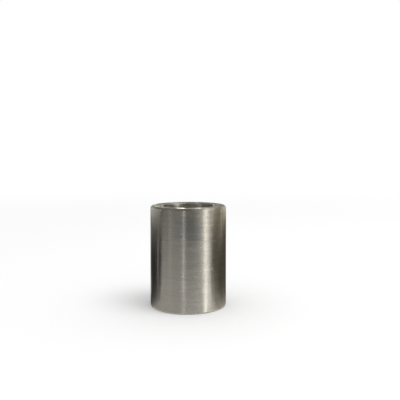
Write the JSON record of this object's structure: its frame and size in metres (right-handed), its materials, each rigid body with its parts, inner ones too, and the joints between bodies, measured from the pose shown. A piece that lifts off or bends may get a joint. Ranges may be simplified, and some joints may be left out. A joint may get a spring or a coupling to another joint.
{
  "type": "spacer sleeve",
  "caption": "Short thick-walled round steel tube with a plain through bore, square faced ends and finely broken edges.",
  "frame": {"origin": "centre of the lower end face, on the tube's axis", "axes": "+Z along the tube's axis, from the end it stands on to the other end"},
  "size_m": [0.019, 0.019, 0.025],
  "materials": {
    "stainless_steel": "fine turned satin, with feed marks round the tube and concentric marks on the end faces"
  },
  "bodies": {
    "root": {"spacer_sleeve": "stainless_steel"}
  },
  "joints": []
}
